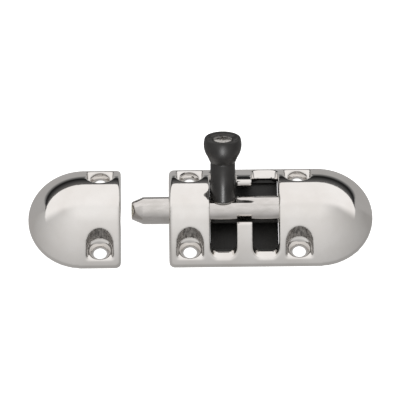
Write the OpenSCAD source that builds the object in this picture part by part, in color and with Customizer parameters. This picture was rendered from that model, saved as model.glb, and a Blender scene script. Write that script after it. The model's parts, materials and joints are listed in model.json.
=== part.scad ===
// Toggle bolt latch: a chrome housing with a sliding, turning bolt, and its keeper.
// +X runs along the bolt towards the domed end, +Z stands out of the door face.
// The origin is the centre of the housing's four screw holes, on the door face.

/* [Castings] */
// Width of both castings across the door
casting_w = 36.6; // [34:0.1:46]
// Height of the flat rim that meets the door
rim_h = 1.6; // [1:0.1:3]
// Height of the crown above the door
crown_h = 13.1; // [12.9:0.1:18]
// Radius of the arched crown
crown_r = 13.6; // [11:0.1:15]
// Angle from upright at which the crown passes into the flatter curve of the flank
crown_edge = 30; // [27:1:33]
// Wall of the hollow castings
wall = 1.7; // [1.2:0.1:2.2]
// Housing length
housing_l = 67.6; // [66:0.1:86]
// Keeper length
keeper_l = 30.8; // [28:0.1:40]
// Gap between the keeper and the housing as they are shown
gap = 15.9; // [14:0.1:22]
// Rounding of the upright corners at the flat ends
corner_r = 1.7; // [0.5:0.1:3]

/* [Screw holes] */
// Hole spacing along the bolt
hole_dx = 36; // [34:0.1:44]
// Distance of the nearest holes from each casting's flat end
hole_in = 6.9; // [6.5:0.1:8]
// Hole spacing across the bolt
hole_dy = 26; // [25:0.1:30]
// Screw hole diameter
hole_d = 4.4; // [3.5:0.1:5]
// Countersink diameter
sink_d = 7.2; // [6:0.1:7.6]
// Width of the upright pocket for the screw head
pocket_d = 8.6; // [8:0.1:9]
// Height of the pocket floor
pocket_floor = 3.3; // [2.5:0.1:4]
// Height at which the countersink meets the straight hole
land_h = 1.2; // [0.8:0.1:2]
// Metal left around each pocket
boss_wall = 1.5; // [1.2:0.1:2]
// Metal left around each bolt bore
channel_wall = 2.1; // [1.9:0.1:2.6]

/* [Window] */
// Room on each side of the knob's stem in its slot
slot_room = 0.3; // [0.2:0.05:0.8]
// Width of the finger between two slots
finger_w = 5.2; // [4.5:0.1:8]
// Height of the slots' floors
slot_floor = 3.1; // [2.6:0.1:3.6]
// Rounding of the slots' lower corners
slot_corner_r = 2.7; // [1.5:0.1:3.2]
// Nose radius of the front finger
front_nose_r = 1.4; // [1:0.1:1.6]
// Nose radius of the rear finger
rear_nose_r = 1.5; // [1:0.1:1.6]
// Place of the front nose, down the flank from the edge of the crown
front_nose_at = 2; // [1.5:0.1:4]
// Place of the rear nose, which clears the leaning stem
rear_nose_at = 3.7; // [3.6:0.1:5]

/* [Bolt] */
// Bolt diameter
bolt_d = 9; // [7.5:0.1:9.4]
// Height of the bolt's axis
bolt_z = 6.35; // [6.2:0.05:8]
// Length standing out of the housing
bolt_out = 12.3; // [10:0.1:14]
// Length of the cone at the bolt's tip
tip_l = 3.9; // [2:0.1:6]
// Diameter of the bolt's flat tip
tip_d = 5.8; // [4:0.1:7]
// Radial running clearance of the bolt in its bushes
run_gap = 0.06; // [0.02:0.01:0.1]
// Radial room around the bolt where it passes through metal
mouth_room = 0.2; // [0.15:0.05:0.4]
// Length of the bolt that the rear bush holds when the bolt is out
held_l = 3.5; // [3:0.1:5]
// Depth of the flat under the knob, below the bolt's surface
seat_depth = 1; // [0.6:0.1:1.5]

/* [Knob] */
// Diameter of the knob's stem
stem_d = 8.2; // [6.8:0.05:8.4]
// Distance from the bolt's axis to the neck under the head
neck_at = 17.3; // [16:0.1:20]
// Diameter of the knob's head
head_d = 12.6; // [10:0.1:15]
// Distance from the bolt's axis to the top of the head
top_at = 25.7; // [24:0.1:30]
// Lean of the knob towards the rear at rest, in degrees
lean = 38; // [0:1:38]
// Diameter of the screw through the knob
screw_d = 4; // [3:0.1:4]
// Diameter of that screw's head
screw_head_d = 6.4; // [5.5:0.1:7]

/* [Bushes and spring] */
// Wall of the two plastic bushes
bush_wall = 0.95; // [0.8:0.05:1]
// Thickness of the metal lip in front of the front bush
front_lip = 2; // [1.5:0.1:3]
// Length of the rear bush
rear_bush_l = 12; // [8:0.1:12.5]
// Bore in the bolt's rear end for the spring
spring_bore_d = 5.8; // [5:0.1:6]
// Radial room around the spring in its bore
spring_room = 0.35; // [0.2:0.05:0.5]
// Spring wire diameter
wire_d = 0.7; // [0.5:0.1:0.8]
// Number of spring turns
turns = 12; // [8:1:12]
// Thickness of the thrust washer between bolt and spring
washer_t = 0.8; // [0.5:0.1:1.2]
// Depth of the keeper's socket
socket_depth = 13.5; // [12:0.1:16]
// Radial room between the bolt and the keeper's sleeve
socket_room = 0.4; // [0.3:0.05:0.6]

/* [Window liner] */
// Thickness of the liner's floor
liner_t = 1.3; // [1:0.1:1.4]
// Height of the liner's upright edges
liner_h = 2.4; // [2:0.1:2.5]
// Room between the liner and the casting
liner_room = 0.15; // [0.1:0.05:0.3]

/* [Hidden] */
$fn = 64;
eps = 0.01;
cut = 1;

chrome = "gainsboro";
black = [0.17, 0.16, 0.15];
nylon = [0.86, 0.85, 0.8];
steel = "silver";

half_w = casting_w / 2;
housing_front = hole_dx / 2 + hole_in;
housing_back = housing_l - housing_front;
crown_z = crown_h - crown_r;
housing_xc = housing_back - half_w;
keeper_x1 = -housing_front - gap;
keeper_x0 = keeper_x1 - keeper_l;
keeper_xc = keeper_x0 + half_w;
keeper_hole_x = keeper_x1 - hole_in;
boss_r = pocket_d / 2 + boss_wall;

// the window is two slots and the finger between them
slot_w = stem_d + 2 * slot_room;
window_l = 2 * slot_w + finger_w;
slot_x = (slot_w + finger_w) / 2;
stem_x = -slot_x;

bolt_r = bolt_d / 2;
bush_r = bolt_r + run_gap + bush_wall;
bolt_x0 = -housing_front - bolt_out;
mouth_r = bolt_r + mouth_room;
// the stem stops just short of the second slot's middle
travel = 2 * slot_x - 0.1;
seat_at = bolt_r - seat_depth;
bolt_x1 = window_l / 2 + held_l;
// the spring's bore leaves solid metal under the knob, and its seat lies behind the bolt's travel
bore_bottom = stem_x + stem_d / 2 + 1;
stop_room = 0.6;
seat_l = 2;
back_bore_x1 = bolt_x1 + travel + stop_room;
spring_x1 = back_bore_x1 + seat_l;
spring_d = spring_bore_d - 2 * spring_room;

// ---- the castings' shared outline ----

// the flank is an arc that leaves the crown smoothly and ends on the rim's outer edge
function upright(angle) = [sin(angle), cos(angle)];
crown_end = [0, crown_z] + crown_r * upright(crown_edge);
to_rim = [half_w, rim_h] - crown_end;
flank_r = -(to_rim * to_rim) / (2 * upright(crown_edge) * to_rim);
flank_c = crown_end - flank_r * upright(crown_edge);
rim_angle = atan2(half_w - flank_c[0], rim_h - flank_c[1]);
arc_steps = 16;

function arc_point(c, r, angle) = c + r * upright(angle);

// upright half section of a casting: rim, arched flank, round crown
module outer_half() {
    polygon(concat(
        [[0, 0]],
        [for (i = [0 : arc_steps]) arc_point([0, crown_z], crown_r, crown_edge * i / arc_steps)],
        [for (i = [1 : arc_steps])
            arc_point(flank_c, flank_r, crown_edge + (rim_angle - crown_edge) * i / arc_steps)],
        [[half_w, 0]]
    ));
}

// where a straight side that starts at [w, h] touches a circle of radius r about the crown's centre
function side_angle(w, h, r) = atan2(h - crown_z, w) + acos(r / norm([w, h - crown_z]));
function side_end(w, h, r) =
    let (a = side_angle(w, h, r)) [r * cos(a), crown_z + r * sin(a)];

// the hollow's side rises this much before it leans in, however thick the wall is
least_rise = 0.2;

// upright half section of the hollow in it, a wall further in, with a flat ceiling
module hollow_half() {
    w = half_w - wall;
    h = max(rim_h - wall, least_rise);
    t = side_end(w, h, crown_r - wall);
    polygon([[0, -cut], [w, -cut], [w, h], t, [0, t[1]]]);
}

// a half section mirrored and extruded from x0 to x1
module prism(x0, x1) {
    translate([x0, 0, 0])
        rotate([90, 0, 90])
            linear_extrude(x1 - x0) {
                children();
                mirror([1, 0])
                    children();
            }
}

// a half section turned into a round end about xc, pointing along way
module round_end(xc, way) {
    translate([xc, 0, 0])
        rotate([0, 0, way > 0 ? -90 : 90])
            rotate_extrude(angle = 180)
                children();
}

// takes the upright corners off a flat end; way points out of that end
module corner_cutters(x, way) {
    for (side = [-1, 1])
        translate([x, side * half_w, -cut])
            mirror([way > 0 ? 1 : 0, side > 0 ? 1 : 0, 0])
                linear_extrude(crown_h)
                    difference() {
                        translate([-cut, -cut])
                            square(corner_r + cut);
                        translate([corner_r, corner_r])
                            circle(corner_r);
                    }
}

// one screw position: a pocket open to its side of the casting, a countersink and a through hole
module screw_hole(x, side) {
    translate([x, side * hole_dy / 2, 0]) {
        translate([0, 0, pocket_floor])
            cylinder(d = pocket_d, h = crown_h);
        translate([-pocket_d / 2, side > 0 ? 0 : -half_w, pocket_floor])
            cube([pocket_d, half_w, crown_h]);
        translate([0, 0, land_h])
            cylinder(d1 = hole_d, d2 = sink_d, h = pocket_floor - land_h + eps);
        translate([0, 0, -cut])
            cylinder(d = hole_d, h = cut + land_h + eps);
    }
}

module along_x(x0, x1, r) {
    translate([x0, 0, bolt_z])
        rotate([0, 90, 0])
            cylinder(r = r, h = x1 - x0);
}

// ---- housing ----

// the direction square to the flank at this distance down it from the crown
function flank_out(at) = upright(crown_edge + at / flank_r * 180 / PI);
// share of its radius by which a nose's centre lies under the flank
nose_sink = 0.85;

// centre of a finger's nose
function nose_centre(at, r) = flank_c + (flank_r - nose_sink * r) * flank_out(at);

// where a finger's inner face ends, under its nose
function finger_in(at, r) = nose_centre(at, r) - r * flank_out(at);

// section of one finger, from the door face to its round nose, open outwards
module finger_section(at, r) {
    nose = nose_centre(at, r);
    translate(nose)
        circle(r);
    polygon([
        nose + crown_r * flank_out(at), [casting_w, crown_h], [casting_w, -cut],
        [half_w - wall, -cut], [half_w - wall, 0], finger_in(at, r)
    ]);
}

// section of one slot, across its width
module slot_section() {
    for (side = [-1, 1])
        translate([side * (slot_w / 2 - slot_corner_r), slot_floor + slot_corner_r])
            circle(slot_corner_r);
    translate([slot_corner_r - slot_w / 2, slot_floor])
        square([slot_w - 2 * slot_corner_r, crown_h]);
    translate([-slot_w / 2, slot_floor + slot_corner_r])
        square([slot_w, crown_h]);
}

module window_cutters() {
    for (side = [-1, 1])
        translate([side * slot_x, half_w + cut, 0])
            rotate([90, 0, 0])
                linear_extrude(casting_w + 2 * cut)
                    slot_section();
    // what lies between the two fingers
    translate([-finger_w / 2 - eps, 0, 0])
        rotate([90, 0, 90])
            linear_extrude(finger_w + 2 * eps)
                difference() {
                    translate([-half_w + wall, -cut])
                        square([2 * (half_w - wall), crown_h + 2 * cut]);
                    mirror([1, 0])
                        finger_section(front_nose_at, front_nose_r);
                    finger_section(rear_nose_at, rear_nose_r);
                }
}

// metal that stays in a hollow: two screw bosses and the channel for the bolt
module solid_core(boss_x, x0, x1, r) {
    for (side = [-1, 1])
        translate([boss_x, side * hole_dy / 2, -2 * cut]) {
            cylinder(r = boss_r, h = crown_h);
            translate([-boss_r, side > 0 ? 0 : -half_w, 0])
                cube([2 * boss_r, half_w, crown_h]);
        }
    translate([x0, -r - channel_wall, -2 * cut])
        cube([x1 - x0, 2 * (r + channel_wall), crown_h + 4 * cut]);
}

module housing_cavity() {
    // behind the slots, open to the door
    for (side = [-1, 1])
        prism(side * slot_x - slot_w / 2, side * slot_x + slot_w / 2)
            hollow_half();
    // hollow round end
    difference() {
        union() {
            prism(window_l / 2 + wall, housing_xc)
                hollow_half();
            round_end(housing_xc, 1)
                hollow_half();
        }
        solid_core(hole_dx / 2, 0, spring_x1 + wall, bush_r);
    }
    // hollow flat end
    difference() {
        prism(-housing_front + front_lip, -window_l / 2 - wall)
            hollow_half();
        solid_core(-hole_dx / 2, -housing_front, 0, bush_r);
    }
}

module housing() {
    color(chrome)
        difference() {
            union() {
                prism(-housing_front, housing_xc)
                    outer_half();
                round_end(housing_xc, 1)
                    outer_half();
            }
            corner_cutters(-housing_front, -1);
            housing_cavity();
            window_cutters();
            for (end = [-1, 1], side = [-1, 1])
                screw_hole(end * hole_dx / 2, side);
            along_x(-housing_front - cut, 0, mouth_r);
            along_x(-housing_front + front_lip, 0, bush_r);
            along_x(0, window_l / 2 + rear_bush_l, bush_r);
            along_x(0, back_bore_x1, mouth_r);
            along_x(0, spring_x1, spring_bore_d / 2);
        }
}

// ---- keeper ----

module keeper() {
    color(chrome)
        difference() {
            union() {
                prism(keeper_xc, keeper_x1)
                    outer_half();
                round_end(keeper_xc, -1)
                    outer_half();
            }
            corner_cutters(keeper_x1, 1);
            difference() {
                union() {
                    prism(keeper_xc, keeper_x1 - front_lip)
                        hollow_half();
                    round_end(keeper_xc, -1)
                        hollow_half();
                }
                solid_core(keeper_hole_x, keeper_x1 - socket_depth - wall, keeper_x1, sleeve_r);
            }
            for (side = [-1, 1])
                screw_hole(keeper_hole_x, side);
            along_x(keeper_x1 - socket_depth, keeper_x1 + cut, sleeve_r);
        }
}

sleeve_inner_r = bolt_r + socket_room;
sleeve_r = sleeve_inner_r + bush_wall;

// the sleeve's rim lies this far inside the keeper's flat end
sleeve_set_back = 0.4;

module keeper_sleeve() {
    color(nylon)
        difference() {
            along_x(keeper_x1 - socket_depth, keeper_x1 - sleeve_set_back, sleeve_r);
            along_x(keeper_x1 - socket_depth + bush_wall, keeper_x1 + cut, sleeve_inner_r);
        }
}

// ---- bushes and liner ----

module front_bush() {
    color(nylon)
        difference() {
            along_x(-housing_front + front_lip, -window_l / 2, bush_r);
            along_x(-housing_front, 0, bolt_r + run_gap);
        }
}

module rear_bush() {
    color(nylon)
        difference() {
            along_x(window_l / 2, window_l / 2 + rear_bush_l, bush_r);
            along_x(0, housing_back, bolt_r + run_gap);
        }
}

// half width left between the fingers' inner faces at a height, less the liner's room
function inside_at(p, z) = half_w - wall + (p[0] - half_w + wall) * z / p[1];
function liner_half(z) = min(
    inside_at(finger_in(front_nose_at, front_nose_r), z),
    inside_at(finger_in(rear_nose_at, rear_nose_r), z)
) - liner_room;
liner_edge = 1.2;

// shallow black tray under the window, held between the casting and the door
module window_liner() {
    liner_l = window_l - 2 * liner_room;
    floor_y = liner_half(liner_t);
    edge_y = liner_half(liner_h);
    color(black)
        translate([-liner_l / 2, 0, 0])
            rotate([90, 0, 90])
                linear_extrude(liner_l) {
                    translate([-floor_y, 0])
                        square([2 * floor_y, liner_t]);
                    for (side = [-1, 1])
                        translate([side * (edge_y - liner_edge / 2) - liner_edge / 2, liner_t / 2])
                            square([liner_edge, liner_h - liner_t / 2]);
                }
}

// ---- bolt, spring and thrust washer ----

// the flat under the knob is this much longer than the stem, at each end
seat_room = 0.6;
// gap left between the bolt, the thrust washer and the spring
end_gap = 0.05;
washer_bore_d = 1.6;
washer_x = bore_bottom + end_gap;
spring_x0 = washer_x + washer_t + end_gap;

module bolt() {
    color(chrome)
        difference() {
            union() {
                along_x(bolt_x0 + tip_l, bolt_x1, bolt_r);
                translate([bolt_x0, 0, bolt_z])
                    rotate([0, 90, 0])
                        cylinder(r1 = tip_d / 2, r2 = bolt_r, h = tip_l);
            }
            along_x(bore_bottom, bolt_x1 + cut, spring_bore_d / 2);
            at_knob() {
                translate([-stem_d / 2 - seat_room, -bolt_r, seat_at])
                    cube([stem_d + 2 * seat_room, bolt_d, bolt_r]);
                translate([0, 0, screw_end])
                    cylinder(d = screw_d, h = bolt_d);
            }
        }
}

module thrust_washer() {
    color(steel)
        difference() {
            along_x(washer_x, washer_x + washer_t, spring_d / 2);
            along_x(bore_bottom, bolt_x1, washer_bore_d / 2);
        }
}

// a coil along X, ring by ring
coil_r = (spring_d - wire_d) / 2;
coil_steps = 14;
wire_sides = 6;
spring_span = spring_x1 - end_gap - spring_x0 - wire_d;

function coil_point(i, k) =
    let (
        turn = 360 * i / coil_steps,
        side = 360 * k / wire_sides,
        r = coil_r + wire_d / 2 * cos(side),
        x = spring_x0 + wire_d / 2 + spring_span * i / (turns * coil_steps)
    )
    [x + wire_d / 2 * sin(side), r * cos(turn), bolt_z + r * sin(turn)];

module return_spring() {
    last = turns * coil_steps;
    points = [for (i = [0 : last], k = [0 : wire_sides - 1]) coil_point(i, k)];
    walls = [
        for (i = [0 : last - 1], k = [0 : wire_sides - 1])
            let (j = (k + 1) % wire_sides, a = i * wire_sides, b = a + wire_sides)
                [a + k, a + j, b + j, b + k]
    ];
    first_cap = [for (k = [wire_sides - 1 : -1 : 0]) k];
    last_cap = [for (k = [0 : wire_sides - 1]) last * wire_sides + k];
    color(steel)
        polyhedron(points, concat([first_cap, last_cap], walls), convexity = 6);
}

// ---- knob ----

// the knob's own frame: its axis stands on the bolt's axis and leans to the rear
module at_knob() {
    translate([stem_x, 0, bolt_z])
        rotate([-lean, 0, 0])
            children();
}

// the screw stops this far from the bolt's axis
screw_end = 0.3;
screw_head_h = 1.6;
screw_room = 0.1;
// cross recess: length, width and depth
recess_l = 3.6;
recess_w = 0.9;
recess_h = 1;
shoulder_r = 2.2;
top_round = 0.8;
washer_h = 0.4;
// the washer's edge lies this far inside the stem's
washer_inset = 0.3;

module knob() {
    head_r = head_d / 2;
    stem_r = stem_d / 2;
    color(black)
        at_knob()
            difference() {
                union() {
                    translate([0, 0, seat_at + washer_h])
                        cylinder(r = stem_r, h = neck_at - seat_at - washer_h + cut);
                    rotate_extrude()
                        difference() {
                            union() {
                                translate([0, neck_at])
                                    square([head_r - shoulder_r, top_at - neck_at]);
                                translate([0, neck_at + shoulder_r])
                                    square([head_r, top_at - neck_at - shoulder_r - top_round]);
                                translate([head_r - shoulder_r, neck_at + shoulder_r])
                                    circle(shoulder_r);
                                translate([head_r - top_round, top_at - top_round])
                                    circle(top_round);
                                translate([0, top_at - 2 * top_round])
                                    square([head_r - top_round, 2 * top_round]);
                            }
                            translate([-head_d, 0])
                                square([head_d, 2 * top_at]);
                        }
                }
                cylinder(r = screw_d / 2 + screw_room, h = top_at + cut);
                translate([0, 0, top_at - screw_head_h])
                    cylinder(r = screw_head_d / 2 + screw_room, h = screw_head_h + cut);
            }
}

// thin washer that keeps the plastic stem off the bolt's flat
module knob_washer() {
    color(steel)
        at_knob()
            translate([0, 0, seat_at])
                difference() {
                    cylinder(r = stem_d / 2 - washer_inset, h = washer_h);
                    translate([0, 0, -cut])
                        cylinder(r = screw_d / 2 + screw_room, h = washer_h + 2 * cut);
                }
}

module knob_screw() {
    color(steel)
        at_knob()
            difference() {
                union() {
                    translate([0, 0, screw_end])
                        cylinder(d = screw_d, h = top_at - screw_end - eps);
                    translate([0, 0, top_at - screw_head_h])
                        cylinder(d = screw_head_d, h = screw_head_h);
                }
                for (turn = [0, 90])
                    rotate([0, 0, turn])
                        translate([-recess_l / 2, -recess_w / 2, top_at - recess_h])
                            cube([recess_l, recess_w, recess_h + cut]);
            }
}

housing();
keeper();
keeper_sleeve();
front_bush();
rear_bush();
window_liner();
bolt();
knob();
knob_screw();
knob_washer();
thrust_washer();
return_spring();
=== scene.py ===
import json
import math

import bmesh
import bpy
from mathutils import Matrix, Vector


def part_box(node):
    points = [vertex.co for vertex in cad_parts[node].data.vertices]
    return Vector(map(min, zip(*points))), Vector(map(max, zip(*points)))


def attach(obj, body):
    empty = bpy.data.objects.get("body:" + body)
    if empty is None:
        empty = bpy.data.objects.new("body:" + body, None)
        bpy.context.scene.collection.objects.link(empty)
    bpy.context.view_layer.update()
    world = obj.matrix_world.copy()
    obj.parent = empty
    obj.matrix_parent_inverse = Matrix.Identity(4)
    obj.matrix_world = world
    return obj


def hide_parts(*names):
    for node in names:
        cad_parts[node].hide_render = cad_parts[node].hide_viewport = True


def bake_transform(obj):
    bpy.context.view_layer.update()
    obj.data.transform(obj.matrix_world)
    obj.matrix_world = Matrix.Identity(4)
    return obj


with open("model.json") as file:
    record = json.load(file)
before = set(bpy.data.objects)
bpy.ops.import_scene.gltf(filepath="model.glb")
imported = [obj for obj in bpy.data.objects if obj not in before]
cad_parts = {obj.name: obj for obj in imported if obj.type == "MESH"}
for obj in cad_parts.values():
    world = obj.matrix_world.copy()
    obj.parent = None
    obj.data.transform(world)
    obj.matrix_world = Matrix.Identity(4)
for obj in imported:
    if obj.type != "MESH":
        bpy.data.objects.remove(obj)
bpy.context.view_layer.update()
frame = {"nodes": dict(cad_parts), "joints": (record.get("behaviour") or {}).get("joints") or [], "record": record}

# Toggle bolt latch. Metres throughout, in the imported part's own frame:
# +X along the bolt towards the round end, +Z out of the door, origin between the housing's screws.

MM = 0.001
scene = bpy.context.scene
nodes = frame["nodes"]
mounts = {mount["name"]: mount for mount in frame["record"]["mounts"]}
joints = {joint["name"]: joint for joint in frame["joints"]}

# ---- sizes and places taken from the frame ----

housing_lo, housing_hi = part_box("housing")
keeper_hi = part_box("keeper")[1]
bolt_lo, bolt_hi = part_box("bolt")
spring_lo, spring_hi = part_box("return_spring")
thrust_lo, thrust_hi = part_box("thrust_washer")

half_w = housing_hi.y
crown_h = housing_hi.z
stem_x, _, bolt_z = joints["knob_turn"]["pos_m"]
screws = mounts["housing_screws"]["dims"]
hole_x = screws["spacing_x_mm"] / 2 * MM
hole_y = screws["spacing_y_mm"] / 2 * MM
keeper_hole_x = mounts["keeper_screws"]["pos_m"][0]
HOLES = [(x, side * hole_y) for x in (-hole_x, hole_x, keeper_hole_x) for side in (-1, 1)]

# ---- sizes of the shapes themselves ----

RIM_H = 1.6 * MM
CROWN_R = 13.6 * MM
CROWN_EDGE = math.radians(30)
POCKET_R = 4.3 * MM
POCKET_FLOOR = 3.3 * MM
BOLT_R = 4.5 * MM
TIP_R = 2.9 * MM
TIP_L = 3.9 * MM
SEAT = 3.5 * MM
LEAN = math.radians(38)
STEM_R = 4.1 * MM
SPRING_BORE_R = 2.9 * MM
SCREW_R = 2 * MM
SCREW_HOLE_R = SCREW_R + 0.1 * MM
SCREW_HEAD_R = 3.2 * MM
SCREW_END = 0.3 * MM
# the knob's heights are measured from the bolt's axis
NECK = 17.3 * MM
TOP = 25.7 * MM
HEAD_SEAT = TOP - 1.6 * MM
FOOT_WASHER_H = 0.4 * MM
RUNNING_R = BOLT_R + 0.06 * MM
SOCKET_R = BOLT_R + 0.4 * MM
# a casting's skin is rebuilt in voxels of this size, then smoothed this many times
SKIN_VOXEL = 0.32 * MM
SMOOTH_ROUNDS = 12


# ---- small tools for meshes ----

def finish_piece(obj, body, finish, slot, *replaced):
    """Gives a piece its finish, its body and the CAD nodes it stands for; the slot argument is not used."""
    obj.data.materials.clear()
    obj.data.materials.append(finish)
    for face in obj.data.polygons:
        face.use_smooth = True
    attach(obj, body)
    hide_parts(*replaced)
    return obj


def loose(name, bm):
    """A new object in the scene from a bmesh, in place."""
    mesh = bpy.data.meshes.new(name)
    bm.to_mesh(mesh)
    bm.free()
    obj = bpy.data.objects.new(name, mesh)
    scene.collection.objects.link(obj)
    return obj


def crisp(obj, degrees=35):
    """Keeps edges sharper than this from being shaded as if they were round."""
    obj.data.set_sharp_from_angle(angle=math.radians(degrees))
    return obj


def lathe(profile, steps=96):
    """Spins (radius, height) points about Z into a solid of revolution."""
    bm = bmesh.new()
    verts = [bm.verts.new((r, 0, h)) for r, h in profile]
    edges = [bm.edges.new(pair) for pair in zip(verts, verts[1:])]
    bmesh.ops.spin(
        bm, geom=verts + edges, cent=(0, 0, 0), axis=(0, 0, 1),
        angle=2 * math.pi, steps=steps, use_merge=True,
    )
    bmesh.ops.remove_doubles(bm, verts=bm.verts, dist=1e-7)
    bmesh.ops.recalc_face_normals(bm, faces=bm.faces)
    return bm


def tube(inner, outer, low, high, soft=0.15 * MM):
    """A ring about Z with small chamfers at its four rims."""
    return lathe([
        (inner, low + soft), (inner + soft, low), (outer - soft, low), (outer, low + soft),
        (outer, high - soft), (outer - soft, high), (inner + soft, high), (inner, high - soft),
        (inner, low + soft),
    ])


def block(low, high, soft=0.0):
    """A box between two corners, its edges rounded by soft."""
    bm = bmesh.new()
    bmesh.ops.create_cube(bm, size=1)
    size, middle = Vector(high) - Vector(low), (Vector(high) + Vector(low)) / 2
    shape = Matrix.Translation(middle) @ Matrix.Diagonal((*size, 1))
    bmesh.ops.transform(bm, matrix=shape, verts=bm.verts)
    if soft:
        bmesh.ops.bevel(
            bm, geom=bm.edges[:], offset=soft, affect="EDGES", segments=3, profile=0.5, material=-1,
        )
    return bm


def placed(bm, matrix):
    bmesh.ops.transform(bm, matrix=matrix, verts=bm.verts)
    return bm


def arc(centre, radius, start, end, count):
    """Points on a round stretch; angles in degrees, from the radius axis towards the height axis."""
    angles = [math.radians(start + (end - start) * i / count) for i in range(count + 1)]
    return [(centre[0] + radius * math.cos(a), centre[1] + radius * math.sin(a)) for a in angles]


ALONG_BOLT = Matrix.Translation((0, 0, bolt_z)) @ Matrix.Rotation(math.pi / 2, 4, "Y")
AT_KNOB = Matrix.Translation((stem_x, 0, bolt_z)) @ Matrix.Rotation(-LEAN, 4, "X")


def welded(node):
    """A CAD node's shape as one closed mesh, its loose triangles merged."""
    bm = bmesh.new()
    bm.from_mesh(nodes[node].data)
    bmesh.ops.remove_doubles(bm, verts=bm.verts, dist=0.001 * MM)
    return bm


def applied(obj):
    """Applies every modifier of obj."""
    graph = bpy.context.evaluated_depsgraph_get()
    mesh = bpy.data.meshes.new_from_object(obj.evaluated_get(graph))
    obj.modifiers.clear()
    old, obj.data = obj.data, mesh
    bpy.data.meshes.remove(old)
    return obj


def carved(obj, cutter, operation="DIFFERENCE", solver="EXACT"):
    """Combines obj with a cutter, which is used up."""
    tool = loose("cutter", cutter)
    cut = obj.modifiers.new("carve", "BOOLEAN")
    cut.operation = operation
    cut.solver = solver
    cut.object = tool
    applied(obj)
    bpy.data.objects.remove(tool)
    return obj


# ---- castings ----

def section(inset):
    """Outline of a casting across the door, taken in by inset: round crown, flatter flanks, rim."""
    crown_z = crown_h - CROWN_R
    edge = Vector((math.sin(CROWN_EDGE), math.cos(CROWN_EDGE)))
    crown_end = Vector((0, crown_z)) + CROWN_R * edge
    to_rim = Vector((half_w, RIM_H)) - crown_end
    flank_r = -to_rim.length_squared / (2 * edge.dot(to_rim))
    flank_c = crown_end - flank_r * edge
    rim_angle = math.asin((half_w - inset - flank_c.x) / (flank_r - inset))
    side = []
    for i in range(13):
        angle = CROWN_EDGE * i / 12
        side.append((math.sin(angle) * (CROWN_R - inset), crown_z + math.cos(angle) * (CROWN_R - inset)))
    for i in range(1, 13):
        angle = CROWN_EDGE + (rim_angle - CROWN_EDGE) * i / 12
        side.append((
            flank_c.x + math.sin(angle) * (flank_r - inset), flank_c.y + math.cos(angle) * (flank_r - inset)
        ))
    side.append((half_w - inset, -crown_h))
    return [(-y, z) for y, z in reversed(side[1:])] + side


def envelope(flat_x, way, round_over, length):
    """A long bar of the casting's section whose end at flat_x is rounded over; way points out of that end."""
    # a hair outside the casting, so that only the end is touched
    hair = 0.02 * MM
    bm = bmesh.new()
    rings = []
    stations = [(round_over * (1 - math.cos(t)), round_over * (1 - math.sin(t)) - hair)
                for t in (math.pi / 2 * i / 8 for i in range(9))]
    for depth, inset in stations + [(length, -hair)]:
        verts = [bm.verts.new((flat_x - way * depth, y, z)) for y, z in section(inset)]
        rings.append([bm.edges.new(pair) for pair in zip(verts, verts[1:] + verts[:1])])
    for a, b in zip(rings, rings[1:]):
        bmesh.ops.bridge_loops(bm, edges=a + b)
    for ring in (rings[0], rings[-1]):
        bmesh.ops.contextual_create(bm, geom=ring)
    bmesh.ops.recalc_face_normals(bm, faces=bm.faces)
    return bm


def casting(name, node, flat_x, way, round_over, chrome_and_shaded_cast):
    """A polished casting: the node's own shape with a rounded flat end and soft edges all over."""
    length = 2 * half_w + 3 * crown_h
    bar = envelope(flat_x, way, round_over, length)
    obj = carved(loose(name, welded(node)), bar, "INTERSECT", "MANIFOLD")
    skin = obj.modifiers.new("skin", "REMESH")
    skin.mode = "VOXEL"
    skin.voxel_size = SKIN_VOXEL
    polish = obj.modifiers.new("polish", "SMOOTH")
    polish.factor = 0.5
    polish.iterations = SMOOTH_ROUNDS
    applied(obj)
    finish_piece(obj, node, chrome_and_shaded_cast[0], "chrome", node)
    # pocket walls and the underside get the darker chrome: painted shade over the cast skin
    obj.data.materials.append(chrome_and_shaded_cast[1])
    for face in obj.data.polygons:
        face.material_index = 1 if takes_shaded_cast_skin(face.center, face.normal) else 0
    return obj


def takes_shaded_cast_skin(point, normal):
    """Whether the polishing wheel misses this place: the screw pockets' walls and the hollow underneath, which get
    the darker cast chrome as painted shade of these recesses.
    """
    for x, y in HOLES:
        # a pocket's middle line runs from its hole straight out to the casting's side
        side = math.copysign(1, y)
        inwards = Vector((x, y + side * max(0, side * (point.y - y)))) - point.xy
        near = inwards.length < POCKET_R + 0.5 * MM
        if near and point.z > POCKET_FLOOR + 0.4 * MM and abs(normal.z) < 0.55:
            return inwards.normalized().dot(normal.xy) > 0.5
    return normal.z < -0.3 and point.z > 0.4 * MM


# ---- materials ----

def linear(hex_colour):
    """An sRGB hex colour as Blender's linear RGBA."""
    channels = [int(hex_colour[i:i + 2], 16) / 255 for i in (1, 3, 5)]
    return (*[c / 12.92 if c <= 0.04045 else ((c + 0.055) / 1.055) ** 2.4 for c in channels], 1)


def add(tree, kind, settings, feeds=None):
    """Adds a node with its settings, which are properties or unlinked inputs, and the links that feed it."""
    node = tree.nodes.new(kind)
    for key, value in settings.items():
        if isinstance(key, str) and hasattr(node, key):
            setattr(node, key, value)
        else:
            node.inputs[key].default_value = value
    for key, source in (feeds or {}).items():
        tree.links.new(source, node.inputs[key])
    return node


def material(name, colour, metallic, roughness):
    made = bpy.data.materials.new(name)
    made.use_nodes = True
    shader = made.node_tree.nodes["Principled BSDF"]
    shader.inputs["Base Color"].default_value = linear(colour)
    shader.inputs["Metallic"].default_value = metallic
    shader.inputs["Roughness"].default_value = roughness
    return made, made.node_tree, shader


def spots(tree, size, detail=2.0, stretch=(1, 1, 1)):
    """Noise on object coordinates whose patches are about size across; stretch packs it along an axis."""
    coords = add(tree, "ShaderNodeTexCoord", {})
    mapping = add(tree, "ShaderNodeMapping", {"Scale": stretch}, {"Vector": coords.outputs["Object"]})
    noise = add(tree, "ShaderNodeTexNoise", {"Scale": 1 / size, "Detail": detail},
                {"Vector": mapping.outputs["Vector"]})
    return noise.outputs["Fac"]


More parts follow.
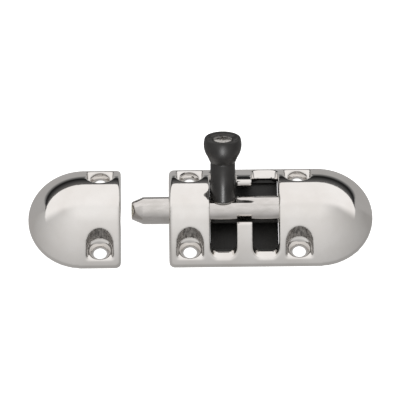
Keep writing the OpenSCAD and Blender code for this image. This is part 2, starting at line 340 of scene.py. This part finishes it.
def spread(tree, source, low, high):
    """Maps a noise's middle range onto low to high."""
    return add(tree, "ShaderNodeMapRange", {"From Min": 0.3, "From Max": 0.7, "To Min": low, "To Max": high},
               {"Value": source}).outputs["Result"]


def shades(tree, source, *stops):
    """A colour ramp of (position, hex) stops."""
    ramp = add(tree, "ShaderNodeValToRGB", {}, {"Fac": source})
    elements = ramp.color_ramp.elements
    for element, (place, colour) in zip(elements, stops):
        element.position, element.color = place, linear(colour)
    for place, colour in stops[2:]:
        elements.new(place).color = linear(colour)
    return ramp.outputs["Color"]


def bump(tree, height, depth, strength=1.0, under=None):
    """Relief of a real depth in metres, laid over another relief if one is given."""
    feeds = {"Height": height}
    if under:
        feeds["Normal"] = under
    return add(tree, "ShaderNodeBump", {"Distance": depth, "Strength": strength}, feeds).outputs["Normal"]


def polished_chrome():
    """Chrome plate on buffed die-cast zinc: a mirror with a faint hand-buffed ripple and a light haze."""
    made, tree, shader = material("chrome_plated_die_cast_zinc", "#EDEAE7", 1, 0.05)
    haze = spots(tree, 9 * MM, 5)
    tree.links.new(spread(tree, haze, 0.02, 0.06), shader.inputs["Roughness"])
    tree.links.new(shades(tree, haze, (0.35, "#E9E6E3"), (0.65, "#F0EEEC")), shader.inputs["Base Color"])
    ripple = bump(tree, spots(tree, 7 * MM, 1), 0.02 * MM, 0.5)
    # buffing lines run along the bolt; real ones are finer than 0.05 mm, drawn at 0.15 mm
    lines = spots(tree, 1.5 * MM, 3, (1, 10, 10))
    tree.links.new(bump(tree, lines, 0.0015 * MM, 0.5, ripple), shader.inputs["Normal"])
    return made


def cast_chrome_with_painted_shade():
    """Chrome plate straight on the cast skin, out of the buffing wheel's reach: grainy and streaked, its colour
    darkened as painted shade for the recesses and underside it lines.
    """
    made, tree, shader = material("chrome_cast_skin_painted_shade", "#9C9996", 1, 0.3)
    streaks = spots(tree, 3 * MM, 4, (4, 4, 1))
    tree.links.new(spread(tree, streaks, 0.2, 0.42), shader.inputs["Roughness"])
    # the darkened colours are painted shade for the pockets and underneath; the streaks across them are the cast
    # skin's own
    tree.links.new(shades(tree, streaks, (0.35, "#6F6C69"), (0.65, "#B9B6B3")), shader.inputs["Base Color"])
    grain = bump(tree, spots(tree, 0.5 * MM, 3), 0.03 * MM, 0.6)
    tree.links.new(bump(tree, streaks, 0.12 * MM, 0.8, grain), shader.inputs["Normal"])
    return made


def turned_chrome():
    """Chrome plate on turned brass rod: bright, with fine rings left round it by the lathe tool."""
    made, tree, shader = material("chrome_plated_turned_brass", "#DAD7D4", 1, 0.1)
    coords = add(tree, "ShaderNodeTexCoord", {})
    # tool marks are about 0.1 mm apart; drawn at 0.25 mm so that they show
    rings = add(tree, "ShaderNodeTexWave",
                {"bands_direction": "X", "Scale": 2 * math.pi / (20 * 0.25 * MM), "Distortion": 0.6,
                 "Detail": 2.0, "Detail Scale": 1.5}, {"Vector": coords.outputs["Object"]}).outputs["Fac"]
    wear = spots(tree, 4 * MM, 5, (1, 3, 3))
    tree.links.new(spread(tree, wear, 0.04, 0.1), shader.inputs["Roughness"])
    tree.links.new(shades(tree, wear, (0.35, "#D2CFCC"), (0.65, "#E0DDDB")), shader.inputs["Base Color"])
    tree.links.new(bump(tree, rings, 0.001 * MM, 0.5), shader.inputs["Normal"])
    return made


def moulded_black(name, colour, light, roughness):
    """Black moulded plastic: a soft sheen broken by fine grain, paler where hands rub it."""
    made, tree, shader = material(name, colour, 0, roughness)
    shader.inputs["IOR"].default_value = 1.53
    rub = spots(tree, 6 * MM, 4)
    tree.links.new(spread(tree, rub, roughness - 0.08, roughness + 0.1), shader.inputs["Roughness"])
    tree.links.new(shades(tree, rub, (0.35, colour), (0.7, light)), shader.inputs["Base Color"])
    # mould texture of about 0.15 mm grain, drawn at 0.3 mm
    grain = bump(tree, spots(tree, 0.3 * MM, 2), 0.02 * MM, 0.5)
    tree.links.new(grain, shader.inputs["Normal"])
    return made


def acetal():
    """Natural acetal: milky off-white, faintly waxy, with turning lines."""
    made, tree, shader = material("natural_acetal", "#D9D6CB", 0, 0.4)
    shader.inputs["IOR"].default_value = 1.48
    shader.inputs["Subsurface Weight"].default_value = 0.15
    shader.inputs["Subsurface Radius"].default_value = (0.6 * MM, 0.5 * MM, 0.4 * MM)
    cloud = spots(tree, 5 * MM, 3)
    tree.links.new(shades(tree, cloud, (0.35, "#D1CDC0"), (0.65, "#E0DDD3")), shader.inputs["Base Color"])
    tree.links.new(spread(tree, cloud, 0.33, 0.48), shader.inputs["Roughness"])
    tree.links.new(bump(tree, spots(tree, 1 * MM, 2, (6, 1, 1)), 0.01 * MM, 0.5), shader.inputs["Normal"])
    return made


def stainless(name, dull, bright):
    """Stainless steel as drawn or stamped: fine scratches one way and a soft grey lustre."""
    made, tree, shader = material(name, bright, 1, 0.25)
    scratches = spots(tree, 0.8 * MM, 4, (1, 5, 1))
    tree.links.new(spread(tree, scratches, 0.16, 0.34), shader.inputs["Roughness"])
    tree.links.new(shades(tree, scratches, (0.35, dull), (0.65, bright)), shader.inputs["Base Color"])
    tree.links.new(bump(tree, scratches, 0.01 * MM, 0.5), shader.inputs["Normal"])
    return made


CHROME = polished_chrome()
SHADED_CAST = cast_chrome_with_painted_shade()
ROD = turned_chrome()
BLACK = moulded_black("black_moulded_nylon", "#100F0E", "#1A1817", 0.36)
LINER = moulded_black("black_moulded_abs", "#0B0B0A", "#141311", 0.5)
ACETAL = acetal()
SCREW_STEEL = stainless("cold_headed_stainless_steel", "#8E8B88", "#D8D6D3")
SPRING_STEEL = stainless("drawn_stainless_spring_wire", "#8A8885", "#C4C2BF")

# ---- the castings ----

casting("housing_casting", "housing", housing_lo.x, -1, 1.5 * MM, (CHROME, SHADED_CAST))
casting("keeper_casting", "keeper", keeper_hi.x, 1, 0.9 * MM, (CHROME, SHADED_CAST))


# ---- the bolt ----

def bolt_rod():
    """Turned rod with a coned tip, a flat for the knob and a bore for the spring."""
    front, back = bolt_lo.x, bolt_hi.x
    edge = 0.35 * MM
    bore_end = thrust_lo.x - 0.05 * MM
    rod = loose("bolt_rod", placed(lathe([
        (0, front), (TIP_R - edge, front), (TIP_R - 0.1 * MM, front + 0.12 * MM),
        (TIP_R + 0.1 * MM, front + edge),
        (BOLT_R - 0.12 * MM, front + TIP_L - edge), (BOLT_R - 0.03 * MM, front + TIP_L - 0.1 * MM),
        (BOLT_R, front + TIP_L + edge), (BOLT_R, back - 0.4 * MM), (BOLT_R - 0.4 * MM, back),
        (SPRING_BORE_R + 0.3 * MM, back), (SPRING_BORE_R, back - 0.3 * MM), (SPRING_BORE_R, bore_end),
        (0, bore_end),
    ]), ALONG_BOLT))
    flat = block((-STEM_R - 0.6 * MM, -2 * BOLT_R, SEAT), (STEM_R + 0.6 * MM, 2 * BOLT_R, 2 * BOLT_R))
    carved(rod, placed(flat, AT_KNOB))
    hole = lathe([(0, SCREW_END), (SCREW_R, SCREW_END), (SCREW_R, BOLT_R), (0, BOLT_R)], 48)
    carved(rod, placed(hole, AT_KNOB))
    soften = rod.modifiers.new("edges", "BEVEL")
    soften.width = 0.08 * MM
    soften.segments = 2
    soften.limit_method = "ANGLE"
    soften.angle_limit = math.radians(50)
    return crisp(finish_piece(applied(rod), "bolt", ROD, "bolt_chrome", "bolt"))


bolt_rod()


# ---- knob, its screw and its washer ----

def knob():
    """Black moulded knob: straight stem, a groove, and a head that swells and closes in to a raised rim."""
    foot = SEAT + FOOT_WASHER_H
    groove_r = STEM_R - 0.25 * MM
    recess_r = SCREW_HEAD_R + 0.1 * MM
    # the belly swells to 6.25 mm and the top edge closes it in
    belly, belly_r, edge_r = (-0.95 * MM, 23.2 * MM), 7.2 * MM, 0.7 * MM
    meet = math.asin((TOP - edge_r - belly[1]) / (belly_r - edge_r))
    edge_in = belly[0] + (belly_r - edge_r) * math.cos(meet)
    profile = [(SCREW_HOLE_R, foot), (STEM_R - 0.35 * MM, foot)]
    profile += arc((STEM_R - 0.35 * MM, foot + 0.35 * MM), 0.35 * MM, -90, 0, 5)[1:]
    # groove under the head
    profile += [(STEM_R, NECK - 0.9 * MM), (groove_r, NECK - 0.6 * MM), (groove_r, NECK - 0.15 * MM)]
    profile += [(STEM_R, NECK - 0.1 * MM), (STEM_R + 0.15 * MM, NECK)]
    profile += arc(belly, belly_r, -33.7, math.degrees(meet), 18)
    profile += arc((edge_in, TOP - edge_r), edge_r, math.degrees(meet), 90, 8)[1:]
    # raised rim round a dished top
    profile += arc((edge_in - 0.3 * MM, TOP - 0.4 * MM), 0.4 * MM, 90, 170, 4)
    profile += [(recess_r + 0.25 * MM, TOP - 0.62 * MM), (recess_r, TOP - 0.8 * MM)]
    profile += [(recess_r, HEAD_SEAT), (SCREW_HOLE_R, HEAD_SEAT), (SCREW_HOLE_R, foot)]
    obj = loose("knob_handle", placed(lathe(profile, 128), AT_KNOB))
    return crisp(finish_piece(obj, "bolt", BLACK, "black_plastic", "knob"), 50)


def knob_screw():
    """Machine screw down the knob, its domed head crossed by a recess."""
    head_top = TOP - 0.25 * MM
    dome = arc((SCREW_HEAD_R - 0.3 * MM, head_top - 0.55 * MM), 0.3 * MM, 0, 60, 4)
    screw = loose("knob_machine_screw", placed(lathe(
        [(0, SCREW_END), (SCREW_R - 0.3 * MM, SCREW_END), (SCREW_R, 0.6 * MM), (SCREW_R, HEAD_SEAT),
         (SCREW_HEAD_R, HEAD_SEAT)] + dome + [(1.6 * MM, head_top - 0.06 * MM), (0, head_top)], 72), AT_KNOB))
    for quarter in (0, 90):
        arm = block((-1.9 * MM, -0.42 * MM, head_top - 1 * MM), (1.9 * MM, 0.42 * MM, TOP), 0.08 * MM)
        carved(screw, placed(arm, AT_KNOB @ Matrix.Rotation(math.radians(quarter + 12), 4, "Z")))
    return crisp(finish_piece(screw, "bolt", SCREW_STEEL, "steel", "knob_screw"))


def ring(name, bm, body, finish, slot, node):
    return crisp(finish_piece(loose(name, bm), body, finish, slot, node))


handle = knob()
screw = knob_screw()
foot_washer = tube(SCREW_HOLE_R, STEM_R - 0.3 * MM, SEAT, SEAT + FOOT_WASHER_H, 0.06 * MM)
ring("knob_foot_washer", placed(foot_washer, AT_KNOB), "bolt", SCREW_STEEL, "steel", "knob_washer")


# ---- bushes, sleeve, liner ----

def bush(name, node):
    """A plain plastic bush along the bolt, as long and as wide as its node."""
    low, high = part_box(node)
    outer = (high.z - low.z) / 2
    bm = placed(tube(RUNNING_R, outer, low.x, high.x, 0.2 * MM), ALONG_BOLT)
    return ring(name, bm, "housing", ACETAL, "nylon", node)


def blind_sleeve():
    """The keeper's lining, closed at its far end."""
    low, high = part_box("keeper_sleeve")
    outer, inner, wall, soft = (high.z - low.z) / 2, SOCKET_R, 0.95 * MM, 0.25 * MM
    bm = placed(lathe([
        (0, low.x), (outer - soft, low.x), (outer, low.x + soft),
        (outer, high.x - soft), (outer - soft, high.x),
        (inner + soft, high.x), (inner, high.x - soft), (inner, low.x + wall), (0, low.x + wall),
    ]), ALONG_BOLT)
    return ring("keeper_socket_sleeve", bm, "keeper", ACETAL, "nylon", "keeper_sleeve")


def window_tray():
    """Black tray that closes the window from the door's side: the node's own shape with moulded edges."""
    bm = welded("window_liner")
    bmesh.ops.dissolve_limit(bm, angle_limit=math.radians(1), verts=bm.verts, edges=bm.edges)
    bmesh.ops.bevel(
        bm, geom=bm.edges[:], offset=0.15 * MM, affect="EDGES", segments=3, profile=0.5, material=-1,
    )
    return ring("window_tray", bm, "housing", LINER, "black_plastic", "window_liner")


bush("front_bolt_bush", "front_bush")
bush("rear_bolt_bush", "rear_bush")
blind_sleeve()
window_tray()


# ---- spring and its washer ----

def coil_spring():
    """Compression spring behind the bolt; the real one closes up as the bolt is drawn back, this coil is built at
    one fixed length.
    """
    wire_r, turns, steps = 0.35 * MM, 12, 24
    coil_r = (spring_hi.y - spring_lo.y) / 2 - wire_r
    length = spring_hi.x - spring_lo.x - 2 * wire_r
    first_turn = Matrix.Translation((spring_lo.x + wire_r, 0, bolt_z + coil_r))
    across_wire = Matrix.Rotation(math.pi / 2, 4, "X")
    bm = bmesh.new()
    wire = bmesh.ops.create_circle(
        bm, segments=10, radius=wire_r, cap_ends=False, matrix=first_turn @ across_wire,
    )
    start = bm.edges[:]
    made = bmesh.ops.spin(
        bm, geom=start + wire["verts"], cent=(0, 0, bolt_z), axis=(1, 0, 0),
        dvec=(length / (turns * steps), 0, 0), angle=2 * math.pi * turns, steps=turns * steps,
    )
    last = [item for item in made["geom_last"] if isinstance(item, bmesh.types.BMEdge)]
    for end in (start, last):
        bmesh.ops.contextual_create(bm, geom=end)
    bmesh.ops.recalc_face_normals(bm, faces=bm.faces)
    spring = loose("return_coil_spring", bm)
    spring.data.materials.append(SPRING_STEEL)
    for face in spring.data.polygons:
        face.use_smooth = True
    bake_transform(spring)
    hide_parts("return_spring")
    return spring


coil_spring()
thrust_disc = tube(0.8 * MM, (thrust_hi.y - thrust_lo.y) / 2, thrust_lo.x, thrust_hi.x, 0.1 * MM)
ring("spring_thrust_washer", placed(thrust_disc, ALONG_BOLT),
     "spring_end", SPRING_STEEL, "steel", "thrust_washer")

# ---- camera ----

AZIMUTH = math.radians(-0.7)
ELEVATION = math.radians(60)
DISTANCE = 1.1
AIM = Vector((-14.5, 7.5, 0)) * MM

camera = bpy.data.objects.new("camera", bpy.data.cameras.new("camera"))
scene.collection.objects.link(camera)
back = Vector((
    math.sin(AZIMUTH) * math.cos(ELEVATION), -math.cos(AZIMUTH) * math.cos(ELEVATION), math.sin(ELEVATION)
))
camera.location = AIM + back * DISTANCE
camera.rotation_mode = "QUATERNION"
camera.rotation_quaternion = (-back).to_track_quat("-Z", "Y")
camera.data.lens = 297
camera.data.sensor_width = 36
camera.data.clip_start = 0.01
camera.data.clip_end = 10
scene.camera = camera

# ---- floor ----

grid = bmesh.new()
bmesh.ops.create_grid(grid, x_segments=1, y_segments=1, size=2)
floor = loose("floor", placed(grid, Matrix.Translation((0, 0, -0.2 * MM))))
paper, _, paper_shader = material("pale_paper", "#FAFAFA", 0, 0.9)
paper_shader.inputs["Emission Color"].default_value = linear("#FFFFFF")
paper_shader.inputs["Emission Strength"].default_value = 0.8
floor.data.materials.append(paper)
floor.visible_glossy = False


# ---- light: a white tent whose bright wall stands up behind the latch, over a dark gap ----

def studio():
    world = bpy.data.worlds.new("studio")
    scene.world = world
    world.use_nodes = True
    tree = world.node_tree
    shine = tree.nodes["Background"]
    coords = add(tree, "ShaderNodeTexCoord", {})
    way = add(tree, "ShaderNodeVectorMath", {"operation": "NORMALIZE"}, {0: coords.outputs["Generated"]})
    axes = add(tree, "ShaderNodeSeparateXYZ", {}, {"Vector": way.outputs["Vector"]})

    def ranged(source, from_low, from_high, low, high, smooth=False):
        settings = {"From Min": from_low, "From Max": from_high, "To Min": low, "To Max": high}
        if smooth:
            settings["interpolation_type"] = "SMOOTHSTEP"
        return add(tree, "ShaderNodeMapRange", settings, {"Value": source}).outputs["Result"]

    # how far a direction lies from the middle of the bright wall, behind and above
    panel = Vector((0, 0.375, 0.927))
    near = add(tree, "ShaderNodeVectorMath", {"operation": "DOT_PRODUCT", 1: panel},
               {0: way.outputs["Vector"]})
    nearness = near.outputs["Value"]
    # the room in front and at the sides falls off towards the table
    room = add(tree, "ShaderNodeValToRGB", {}, {"Fac": axes.outputs["Z"]})
    greys = room.color_ramp.elements
    greys[0].position, greys[0].color = 0.0, (0.40, 0.392, 0.385, 1)
    greys[1].position, greys[1].color = 1.0, (0.93, 0.915, 0.90, 1)
    for place, value in ((0.2, 0.48), (0.5, 0.62), (0.65, 0.70), (0.88, 0.83)):
        greys.new(place).color = (value, value * 0.985, value * 0.97, 1)
    # and is a little lighter on the keeper's side
    sideways = ranged(axes.outputs["X"], -0.8, 0.8, 1.08, 0.92)
    room_light = add(tree, "ShaderNodeVectorMath", {"operation": "SCALE"},
                     {0: room.outputs["Color"], "Scale": sideways}).outputs["Vector"]
    # the dark gap under the bright wall, widest straight behind and gone at the sides
    wall_foot = 0.326
    wide = ranged(axes.outputs["Y"], 0.5, 1.05, 0.015, 0.36, True)
    below = add(tree, "ShaderNodeMath", {"operation": "SUBTRACT", 0: wall_foot}, {1: nearness})
    depth = add(tree, "ShaderNodeMath", {"operation": "DIVIDE"}, {0: below.outputs[0], 1: wide}).outputs[0]
    gap = add(tree, "ShaderNodeValToRGB", {}, {"Fac": depth})
    darks = gap.color_ramp.elements
    darks[0].position, darks[0].color = 0.0, (0.15, 0.147, 0.144, 1)
    darks[1].position, darks[1].color = 1.0, (0.42, 0.412, 0.405, 1)
    for place, value in ((0.3, 0.06), (0.52, 0.012), (0.62, 0.015), (0.8, 0.16)):
        darks.new(place).color = (value, value, value, 1)
    behind = ranged(axes.outputs["Y"], 0.44, 0.5, 0, 1)
    under = add(tree, "ShaderNodeMix", {"data_type": "RGBA"},
                {0: behind, 6: room_light, 7: gap.outputs["Color"]}).outputs[2]
    edge = ranged(nearness, wall_foot - 0.005, wall_foot + 0.005, 0, 1)
    wall = add(tree, "ShaderNodeMix", {"data_type": "RGBA", 7: (0.985, 0.965, 0.95, 1)},
               {0: edge, 6: under}).outputs[2]
    # the wall's light fades into the room's towards the front
    turned = ranged(axes.outputs["Y"], 0.1, 0.4, 0, 1, True)
    seen = add(tree, "ShaderNodeMix", {"data_type": "RGBA"}, {0: turned, 6: room_light, 7: wall}).outputs[2]
    # rough surfaces gather plain white light from all round
    ray = add(tree, "ShaderNodeLightPath", {})
    light = add(tree, "ShaderNodeMix", {"data_type": "RGBA", 7: (0.9, 0.895, 0.89, 1)},
                {0: ray.outputs["Is Diffuse Ray"], 6: seen}).outputs[2]
    tree.links.new(light, shine.inputs["Color"])
    shine.inputs["Strength"].default_value = 1.0
    world.cycles.sampling_method = "MANUAL"
    world.cycles.sample_map_resolution = 512


def knob_light(*pieces):
    """A tall soft strip in front that only the knob sees, for the sheen down its black side."""
    strip = bpy.data.lights.new("knob_strip", "AREA")
    strip.shape = "RECTANGLE"
    strip.size = 0.12
    strip.size_y = 0.4
    strip.energy = 2.5
    lamp = bpy.data.objects.new("knob_strip", strip)
    scene.collection.objects.link(lamp)
    lamp.location = (stem_x, -0.58, 0.18)
    lamp.rotation_mode = "QUATERNION"
    lamp.rotation_quaternion = (Vector((stem_x, 0, bolt_z)) - lamp.location).to_track_quat("-Z", "Y")
    lit = bpy.data.collections.new("lit_by_knob_strip")
    for piece in pieces:
        lit.objects.link(piece)
    lamp.light_linking.receiver_collection = lit


studio()
knob_light(handle, screw)
scene.view_settings.view_transform = "Standard"
